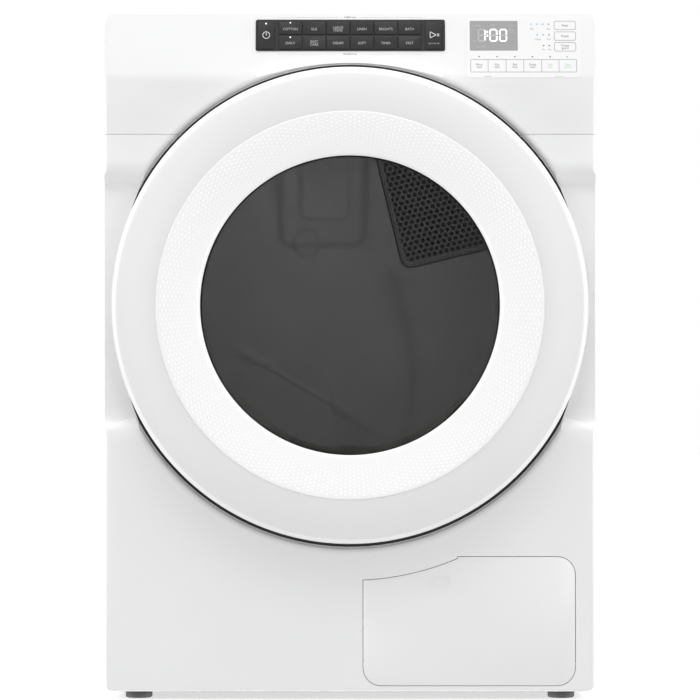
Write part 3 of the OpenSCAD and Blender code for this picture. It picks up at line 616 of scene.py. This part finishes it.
def inside_grille(u, v, inset):
    """True inside the grille's turned corner, whose own corner is rounded."""
    rounding = GRILLE_ROUND - inset
    if u < GRILLE_ROUND and v < GRILLE_ROUND:
        return math.hypot(u - GRILLE_ROUND, v - GRILLE_ROUND) < rounding
    return u > inset and v > inset


def box_field(x, z, x0, x1, z0, z1, r):
    """Signed distance to a rounded rectangle."""
    qx = np.abs(x - (x0 + x1) / 2) - (x1 - x0) / 2 + r
    qz = np.abs(z - (z0 + z1) / 2) - (z1 - z0) / 2 + r
    outside = np.hypot(np.maximum(qx, 0), np.maximum(qz, 0))
    return outside + np.minimum(np.maximum(qx, qz), 0) - r


def line_field(x, z, points):
    """Distance to a polyline."""
    best = np.full(x.shape, 999.0)
    for (ax, az), (bx, bz) in zip(points, points[1:]):
        dx, dz = bx - ax, bz - az
        t = np.clip(((x - ax) * dx + (z - az) * dz) / (dx * dx + dz * dz), 0, 1)
        best = np.minimum(best, np.hypot(x - ax - t * dx, z - az - t * dz))
    return best


def step(d, width):
    """1 inside a field, 0 outside, with a soft edge of the given width."""
    t = np.clip(0.5 - d / width, 0, 1)
    return t * t * (3 - 2 * t)


def curve_points(points, steps=12):
    """Points along a quadratic curve through a start, a pull and an end."""
    (ax, az), (bx, bz), (cx, cz) = points
    out = []
    for i in range(steps + 1):
        t = i / steps
        out.append(((1 - t) ** 2 * ax + 2 * t * (1 - t) * bx + t * t * cx,
                    (1 - t) ** 2 * az + 2 * t * (1 - t) * bz + t * t * cz))
    return out


RELIEF = 1.6


def wall_height(x, z):
    """Depth of the pressing in the rear wall, in metres towards the door."""
    x, z = x / MM, z / MM
    h = 4.0 * step(box_field(x, z, -113, 24, 109, 330, 18), 14)
    h -= 2.0 * step(box_field(x, z, -81, -2, 151, 330, 12), 5)
    h += 2.5 * step(np.hypot(x + 70, z - 112) - 22, 8)
    ridge = curve_points([(-175, -65), (-80, -120), (-3, -165)])
    h += 3.0 * np.exp(-(line_field(x, z, ridge) / 9) ** 2)
    sweep = curve_points([(59, 64), (118, -95), (78, -214)])
    h += 3.5 * np.exp(-(line_field(x, z, sweep) / 11) ** 2)
    corner = curve_points([(-3, -165), (40, -190), (78, -214)])
    h += 2.4 * np.exp(-(line_field(x, z, corner) / 10) ** 2)
    h -= 2.4 * step(box_field(x + 0.18 * (z + 145), z, -189, -31, -204, -86, 52), 7)
    return RELIEF * h * MM


def rear_wall():
    """Polar sheet with the pressing in it, open where the grille is."""
    rings, spokes = 120, 288
    verts, faces = [], []
    for i in range(rings + 1):
        r = WALL_R * i / rings
        for j in range(spokes):
            a = 2 * math.pi * j / spokes
            verts.append((r * math.cos(a), r * math.sin(a)))
    flat = np.array(verts)
    fade = np.clip((WALL_R - np.hypot(flat[:, 0], flat[:, 1])) / (12 * MM), 0, 1)
    height = wall_height(flat[:, 0], flat[:, 1]) * fade
    base_y = wall_y - 0.3 * MM
    points = [(x, base_y - h, axis_z + z) for (x, z), h in zip(verts, height)]
    for i in range(rings):
        for j in range(spokes):
            k = (j + 1) % spokes
            face = (i * spokes + j, i * spokes + k, (i + 1) * spokes + k, (i + 1) * spokes + j)
            cx = sum(verts[v][0] for v in face) / 4
            cz = sum(verts[v][1] for v in face) / 4
            u, v = grille_local(cx, cz)
            if inside_grille(u, v, GRILLE_RIM) and math.hypot(cx, cz) < GRILLE_LIMIT - GRILLE_RIM:
                continue
            faces.append(face)
    return points, faces


piece("rear_wall_pressing", *rear_wall(), rear_grey, "cabinet", "grey_paint", sharp=60)


def grille_edge(inset):
    """Outline of the grille: a turned, rounded corner closed by an arc about the drum's axis."""
    c, s = math.cos(GRILLE_TURN), math.sin(GRILLE_TURN)
    limit = GRILLE_LIMIT - inset
    cx = GRILLE_CORNER[0] + inset * c - inset * s
    cz = GRILLE_CORNER[1] + inset * s + inset * c

    def reach(dx, dz):
        b = cx * dx + cz * dz
        return -b + math.sqrt(b * b + limit * limit - cx * cx - cz * cz)

    along, up = reach(c, s), reach(-s, c)
    a0 = math.degrees(math.atan2(cz + along * s, cx + along * c))
    a1 = math.degrees(math.atan2(cz + up * c, cx - up * s))
    turn = []
    for u, v in arc(GRILLE_ROUND, GRILLE_ROUND, GRILLE_ROUND - inset, 180, 270, 10):
        turn.append((GRILLE_CORNER[0] + u * c - v * s, GRILLE_CORNER[1] + u * s + v * c))
    return turn + arc(0, 0, limit, a0, a1, 40)


def frame_of(*loops):
    """A closed moulding swept through loops of (x, z) offsets from the drum's axis, each at a y."""
    n, count = len(loops[0][0]), len(loops)
    verts = [(x, y, axis_z + z) for loop, y in loops for x, z in loop]
    faces = []
    for k in range(count):
        m = (k + 1) % count
        faces += [(k * n + i, k * n + (i + 1) % n, m * n + (i + 1) % n, m * n + i)
                  for i in range(n)]
    return verts, faces


def honeycomb():
    """Hexagonal cells with round openings, cut off along the grille's frame."""
    pitch, opening = 9.7 * MM, 3.5 * MM
    y0, y1 = wall_y - 2.2 * MM, wall_y - 0.6 * MM
    c, s = math.cos(GRILLE_TURN), math.sin(GRILLE_TURN)
    parts = []
    rise = pitch * math.sqrt(3) / 2
    for row in range(-2, 36):
        for col in range(-2, 36):
            u = (col + 0.36) * pitch + (row % 2) * pitch / 2
            v = (row + 0.62) * rise
            x = GRILLE_CORNER[0] + u * c - v * s
            z = GRILLE_CORNER[1] + u * s + v * c
            if not inside_grille(u, v, GRILLE_RIM) or math.hypot(x, z) > GRILLE_LIMIT - GRILLE_RIM:
                continue
            cell, hole = [], []
            for k in range(6):
                t = math.radians(60 * k + 30) + GRILLE_TURN
                cell.append((x + pitch / math.sqrt(3) * math.cos(t),
                             z + pitch / math.sqrt(3) * math.sin(t)))
                for turn in (t, t + math.pi / 6):
                    hole.append((x + opening * math.cos(turn), z + opening * math.sin(turn)))
            verts = ([(p, y0, axis_z + q) for p, q in cell] + [(p, y0, axis_z + q) for p, q in hole]
                     + [(p, y1, axis_z + q) for p, q in hole])
            faces = []
            for k in range(6):
                m = (k + 1) % 6
                faces.append((k, m, 6 + 2 * m, 7 + 2 * k, 6 + 2 * k))
            for k in range(12):
                m = (k + 1) % 12
                faces.append((6 + k, 6 + m, 18 + m, 18 + k))
            parts.append((verts, faces))
    return join(parts)


# the shallow groove round the grille is coloured near black: painted shadow of the gap between the
# wall and the frame
piece("grille_gap_painted_shadow", *frame_of((grille_edge(-1 * MM), wall_y - 0.2 * MM),
                              (grille_edge(-1 * MM), wall_y - 1 * MM),
                              (grille_edge(2 * MM), wall_y - 1 * MM),
                              (grille_edge(2 * MM), wall_y - 0.2 * MM)),
      painted_shade_black, "cabinet", "black_plastic", ["air_grille"])
piece("grille_frame", *frame_of((grille_edge(1.4 * MM), wall_y - 0.2 * MM),
                                (grille_edge(1.4 * MM), wall_y - 2.4 * MM),
                                (grille_edge(2.4 * MM), wall_y - 3.2 * MM),
                                (grille_edge(4.6 * MM), wall_y - 3.2 * MM),
                                (grille_edge(6.4 * MM), wall_y - 1.8 * MM),
                                (grille_edge(6.4 * MM), wall_y - 0.2 * MM)),
      grille_black, "cabinet", "black_plastic", ["air_grille"])
piece("grille_mesh", *honeycomb(), grille_black, "cabinet", "black_plastic", ["air_grille"])
# a flat near-black sheet behind the grille's openings: painted shade standing in for the dark duct
# behind the grille
shade_sheet_loop = grille_edge(3 * MM)
piece("grille_painted_shade_sheet", [(x, wall_y + 6 * MM, axis_z + z) for x, z in shade_sheet_loop],
      [tuple(range(len(shade_sheet_loop)))], painted_shade_black, "cabinet", "black_plastic")

# ---------------------------------------------------------------- keys: marks that ride on them

# heights off the leaning face: the keys' tops, and a print's thickness on them
KEY_TOP = 2.24 * MM
PRINT = 0.05 * MM
COLUMNS = [-83.5, -50.1, -16.7, 16.7, 50.1, 83.5]
UPPER = ["COTTON", "SILK", "LARGE\nITEMS", "LINEN", "BRIGHTS", "BATH"]
LOWER = ["DAILY", "EASY\nCARE", "DENIM", "SOFT", "TIMER", "FAST"]

for row, labels, text_z, dot_z in (("upper", UPPER, 941.8, 951.0), ("lower", LOWER, 921.6, 930.1)):
    for i, (x, label) in enumerate(zip(COLUMNS, labels), 1):
        key = "cycle_key_%s_%d" % (row, i)
        words(key + "_label", label, x * MM, text_z * MM, 5.3 * MM, print_dim, key,
              KEY_TOP)
        lamp = led_white if i == 1 else print_grey
        size = 0.95 if i == 1 else 0.6
        piece(key + "_lamp", *dot(x * MM, dot_z * MM, size * MM, size * MM, KEY_TOP - 0.1 * MM,
                                  KEY_TOP + PRINT), lamp, key, "black_gloss")

circle = [arc(-117.2 * MM, 933.2 * MM, r * MM, 0, 345, 23) for r in (5.2, 4.3)]
piece("power_mark", *join([frame_strip(circle[0], circle[1], KEY_TOP, KEY_TOP + PRINT),
                           bar((-0.1172, 0.9364), (-0.1172, 0.9328), 0.9 * MM, KEY_TOP,
                               KEY_TOP + PRINT)]), print_white, "power_key", "black_gloss")
piece("power_lamp", *dot(-0.1176, 0.9498, 1.05 * MM, 1.05 * MM, KEY_TOP - 0.1 * MM,
                         KEY_TOP + PRINT), led_white, "power_key", "black_gloss")
triangle = [(112.2, 938.0), (112.2, 929.2), (120.4, 933.6)]
strokes = [bar((a[0] * MM, a[1] * MM), (b[0] * MM, b[1] * MM), 0.85 * MM, KEY_TOP,
               KEY_TOP + PRINT) for a, b in zip(triangle, triangle[1:] + triangle[:1])]
strokes += [bar((x * MM, 0.9356), (x * MM, 0.9314), 0.8 * MM, KEY_TOP, KEY_TOP + PRINT)
            for x in (122.2, 124.2)]
piece("start_mark", *join(strokes), print_white, "start_key", "black_gloss")
piece("start_lamp", *dot(0.1174, 0.9498, 0.6 * MM, 0.6 * MM, KEY_TOP - 0.1 * MM,
                         KEY_TOP + PRINT), print_grey, "start_key", "black_gloss")
words("start_caption", "press & hold", 0.1174, 0.9214, 3.2 * MM, print_dim, "start_key",
      KEY_TOP)

# ---------------------------------------------------------------- printed on the console

# top of a print on the bare fascia
FLAT = 0.06 * MM


def bracket(x0, x1, z, tick):
    """A thin line with a short tick at its outer end."""
    outer = x0 if abs(x0) > abs(x1) else x1
    return [bar((x0 * MM, z * MM), (x1 * MM, z * MM), 0.55 * MM, FLAT / 2, FLAT),
            bar((outer * MM, z * MM), (outer * MM, (z + tick) * MM), 0.55 * MM, FLAT / 2, FLAT)]


lines = (bracket(-100.7, -16, 959.5, -1.2) + bracket(16, 100.8, 959.5, -1.2)
         + bracket(-100.7, -16, 906.6, 1.2) + bracket(16, 102.4, 906.6, 1.2))
piece("console_lines", *join(lines), print_pale, "cabinet", "white_plastic")
words("console_caption_upper", "FABRIC type", 0, 0.9597, 3.3 * MM, print_grey, "cabinet",
      FLAT)
words("console_caption_lower", "PROGRAM set", 0, 0.9067, 3.3 * MM, print_grey, "cabinet",
      FLAT)

# ---------------------------------------------------------------- display

# top of the membrane overlay
SHEET = 0.5 * MM


def on_sheet(shape, *values, raise_by=0.05):
    """A printed shape on the overlay, its lengths given in millimetres."""
    return shape(*[v * MM for v in values], SHEET, SHEET + raise_by * MM)


piece("lcd", *plate(round_rect(0.1675, 0.2347, 0.9115, 0.9543, 0.0012), SHEET - 0.1 * MM,
                    SHEET + 0.03 * MM), lcd_grey, "cabinet", "overlay_film")

# each segment's two ends, in steps across and up the digit
SEGMENTS = {"a": (0, 2, 1, 2), "b": (1, 1, 1, 2), "c": (1, 0, 1, 1), "d": (0, 0, 1, 0),
            "e": (0, 0, 0, 1), "f": (0, 1, 0, 2), "g": (0, 1, 1, 1)}


def digit(x, z, on):
    """Seven-segment digit as short bars with gaps at their ends."""
    w, h, t, gap = 9.2 * MM, 8.2 * MM, 2.0 * MM, 0.8 * MM
    parts = []
    for key, (i0, j0, i1, j1) in SEGMENTS.items():
        if key not in on:
            continue
        a = (x + i0 * w + (gap if i0 != i1 else 0), z + j0 * h + (gap if j0 != j1 else 0))
        b = (x + i1 * w - (gap if i0 != i1 else 0), z + j1 * h - (gap if j0 != j1 else 0))
        parts.append(bar(a, b, t, SHEET + 0.04 * MM, SHEET + 0.08 * MM))
    return parts


lcd_ghost = finish("lcd_ghost", (0.46, 0.46, 0.46), 0.4, 0.03, 2500, 0.00001, 0.02)
DIGIT_X, DIGIT_Z = (0.1797, 0.1961, 0.2097), 0.9254
LIFT = Vector((0, -0.04 * MM, 0))
ghost, lit_parts = [], []
for x, unlit, on in zip(DIGIT_X, ("abcdefg", "g", "g"), ("bc", "abcdef", "abcdef")):
    ghost += digit(x, DIGIT_Z, unlit)
    lit_parts += digit(x, DIGIT_Z, on)
lit_parts += [plate(round_rect(x - 0.00115, x + 0.00115, z - 0.0014, z + 0.0014, 0.0004),
                    SHEET + 0.04 * MM, SHEET + 0.08 * MM)
              for x, z in ((0.1922, 0.9384), (0.1922, 0.9331))]
piece("lcd_ghost_segments", *join(ghost), lcd_ghost, "cabinet", "overlay_film")
lit_parts = [([p + LIFT for p in verts], faces) for verts, faces in lit_parts]
piece("lcd_digits", *join(lit_parts), segment_white, "cabinet", "overlay_film")
for i, (text, x, z) in enumerate((("Running", 177.0, 947.8), ("Mid", 200.6, 947.8),
                                  ("Level", 226.5, 947.8), ("Rest\nTurn", 226.5, 939.9),
                                  ("h m", 173.6, 925.3), ("Time left", 182.0, 917.3))):
    words("lcd_word_%d" % i, text, x * MM, z * MM, 4.0 * MM, lcd_ghost, "cabinet",
          SHEET + 0.04 * MM)

blue = [(253.6, 949.6), (261.8, 949.6), (270.0, 949.6), (262.1, 934.1), (270.4, 934.1),
        (303.4, 902.7)]
off = [(278.1, 949.6), (278.5, 934.1), (270.7, 918.8), (278.7, 918.8), (180.4, 903.1),
       (205.3, 903.0), (230.1, 902.9), (254.9, 902.8), (279.6, 902.7)]
piece("display_lamps_on", *join([on_sheet(dot, x, z, 1.25, 0.95) for x, z in blue]), led_blue,
      "cabinet", "overlay_film")
piece("display_lamps_off", *join([on_sheet(dot, x, z, 1.1, 0.85) for x, z in off]), print_black,
      "cabinet", "overlay_film")

boxes = [on_sheet(outline, 285.6, 316.0, z0, z1, 2.4, 0.65)
         for z0, z1 in ((941.3, 954.2), (925.9, 938.8), (910.5, 923.6))]
boxes.append(on_sheet(outline, 168.2, 316.8, 880.6, 899.2, 1.8, 0.65))
boxes += [bar((x * MM, 0.8810), (x * MM, 0.8988), 0.6 * MM, SHEET, SHEET + 0.05 * MM)
          for x in (192.8, 217.9, 242.6, 267.5, 291.8)]
piece("display_outlines", *join(boxes), print_line, "cabinet", "overlay_film")

DARK, GREY, GREEN = print_grey, print_line, print_green
captions = [("Heat", 300.8, 947.6, 4.9, DARK), ("Finish", 300.8, 932.3, 4.9, DARK),
            ("Crease\nguard", 300.8, 917.0, 4.5, DARK),
            ("Min", 254.4, 942.6, 3.6, GREY), ("Max", 278.1, 942.6, 3.6, GREY),
            ("Damp", 263.2, 927.7, 3.6, GREY), ("Dry", 278.5, 927.7, 3.6, GREY),
            ("No", 270.4, 913.1, 3.6, GREY), ("Yes", 278.9, 913.1, 3.6, GREY),
            ("Minus\ntime", 180.5, 889.8, 4.3, DARK), ("Plus\ntime", 205.4, 889.8, 4.3, DARK),
            ("End\ntone", 230.2, 889.8, 4.3, DARK), ("Damp\ntone", 255.0, 889.8, 4.3, DARK),
            ("Fast\ndry", 279.6, 889.8, 4.3, GREEN), ("Save\npower", 304.3, 889.8, 4.3, GREEN),
            ("key lock", 192.9, 874.9, 2.9, GREY), ("save power", 292.0, 874.9, 2.9, GREEN)]
for i, (text, x, z, size, mat) in enumerate(captions):
    words("display_caption_%02d" % i, text, x * MM, z * MM, size * MM, mat, "cabinet",
          SHEET + 0.04 * MM)

# ---------------------------------------------------------------- access panel's mark

panel_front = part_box("access_panel")[0].y
# centre of the mark, (x, z) in millimetres
MARK = (126.6, 170.5)


def ridge(loops, width, proud):
    """Closed ridges of one width along loops of (x, z) millimetres, proud of the panel's face."""
    parts = []
    for points in loops:
        n = len(points)
        cx = sum(x for x, _ in points) / n
        cz = sum(z for _, z in points) / n
        inner = []
        for x, z in points:
            away = math.hypot(x - cx, z - cz)
            inner.append((x + (cx - x) * width / away, z + (cz - z) * width / away))
        verts = [((x + MARK[0]) * MM, panel_front - d * MM, (z + MARK[1]) * MM)
                 for d in (0, proud) for loop in (points, inner) for x, z in loop]
        faces = []
        for i in range(n):
            j = (i + 1) % n
            faces.append((2 * n + i, 2 * n + j, 3 * n + j, 3 * n + i))
            faces.append((i, j, 2 * n + j, 2 * n + i))
            faces.append((n + j, n + i, 3 * n + i, 3 * n + j))
            faces.append((j, i, n + i, n + j))
        parts.append((verts, faces))
    return join(parts)


piece("access_panel_mark", *ridge([
    arc(-6.5, 0, 8.5, 90, 270) + arc(6.5, 0, 8.5, -90, 90),
    arc(-6.5, 0, 4.4, 90, 270) + arc(6.5, 0, 4.4, -90, 90)], 1.1, 0.7), white_moulding,
    "access_panel", "white_plastic")


# ---------------------------------------------------------------- floor, lights, camera

floor_mesh = bpy.data.meshes.new("floor")
work = bmesh.new()
bmesh.ops.create_grid(work, x_segments=8, y_segments=8, size=9)
work.to_mesh(floor_mesh)
work.free()
floor = bpy.data.objects.new("floor", floor_mesh)
bpy.context.scene.collection.objects.link(floor)
floor_mat = finish("studio_floor", (0.9, 0.9, 0.9), 0.7, 0.05, 30, 0.0002, 0.01)
shader_of(floor_mat).inputs["Emission Color"].default_value = (1, 1, 1, 1)
shader_of(floor_mat).inputs["Emission Strength"].default_value = 0.6
floor_mesh.materials.append(floor_mat)
floor.visible_diffuse = False
floor.visible_glossy = False
floor.visible_shadow = False

scene = bpy.context.scene
scene.view_settings.view_transform = "Standard"

# how bright the studio is overhead, level and below, and what is added square to the view
SKY, HORIZON, GROUND, SIDES = 0.88, 0.52, 0.26, 2.2
world = bpy.data.worlds.new("studio")
world.use_nodes = True
scene.world = world
wn = world.node_tree.nodes
wl = world.node_tree.links
direction = wn.new("ShaderNodeTexCoord")
axes = wn.new("ShaderNodeSeparateXYZ")
wl.new(direction.outputs["Generated"], axes.inputs[0])


def world_range(value, from_min, from_max, to_min, to_max):
    """Maps a value softly from one span to another."""
    n = wn.new("ShaderNodeMapRange")
    n.interpolation_type = "SMOOTHSTEP"
    for key, v in (("From Min", from_min), ("From Max", from_max), ("To Min", to_min),
                   ("To Max", to_max)):
        n.inputs[key].default_value = v
    wl.new(value, n.inputs["Value"])
    return n.outputs["Result"]


def world_math(operation, *values):
    n = wn.new("ShaderNodeMath")
    n.operation = operation
    for value, socket in zip(values, n.inputs):
        wl.new(value, socket)
    return n.outputs[0]


upper = world_range(axes.outputs["Z"], 0.0, 0.9, 0.0, SKY - HORIZON)
lower = world_range(axes.outputs["Z"], -0.8, 0.0, GROUND, HORIZON)
across = world_math("ABSOLUTE", axes.outputs["Y"])
rim = world_range(across, 0.1, 0.45, SIDES, 0.0)
glow = world_math("ADD", world_math("ADD", upper, lower), rim)
seen = wn.new("ShaderNodeLightPath")
strength = wn.new("ShaderNodeMix")
wl.new(seen.outputs["Is Camera Ray"], strength.inputs["Factor"])
wl.new(glow, strength.inputs["A"])
strength.inputs["B"].default_value = 1.0
wl.new(strength.outputs["Result"], wn["Background"].inputs["Strength"])
wn["Background"].inputs["Color"].default_value = (1, 1, 1, 1)


def softbox(name, place, target, width, height, radiance):
    """A soft area light given by how bright its face looks."""
    data = bpy.data.lights.new(name, "AREA")
    data.shape = "RECTANGLE"
    data.size = width
    data.size_y = height
    data.energy = radiance * math.pi * width * height
    lamp = bpy.data.objects.new(name, data)
    bpy.context.scene.collection.objects.link(lamp)
    lamp.location = place
    lamp.rotation_euler = (Vector(target) - Vector(place)).to_track_quat("-Z", "Y").to_euler()
    return lamp


softbox("left_light", (-1.6, -4.2, 0.6), (0, -0.4, 0.55), 1.2, 2.4, 2.48)
softbox("right_light", (1.6, -4.2, 0.6), (0, -0.4, 0.55), 1.2, 2.4, 2.48)
softbox("top_light", (0, -2.0, 3.6), (0, -0.3, 0.5), 2.2, 1.2, 2.6)
softbox("drum_light", (-0.12, -0.2, 0.80), (0.02, 0.3, 0.5), 0.16, 0.06, 30)
door_light = softbox("door_light", (0, glass_back + 0.006, axis_z), (0, 0.3, axis_z), 0.28, 0.28,
                     9.6)
door_light.visible_glossy = False
door_light.visible_camera = False

camera_data = bpy.data.cameras.new("camera")
camera_data.lens = 150
camera_data.sensor_width = 36
camera_data.clip_end = 60
camera = bpy.data.objects.new("camera", camera_data)
bpy.context.scene.collection.objects.link(camera)
camera.location = (0, front_y - 4.067, 0.4932)
camera.rotation_euler = (math.radians(90), 0, 0)
scene.camera = camera

bpy.context.view_layer.update()
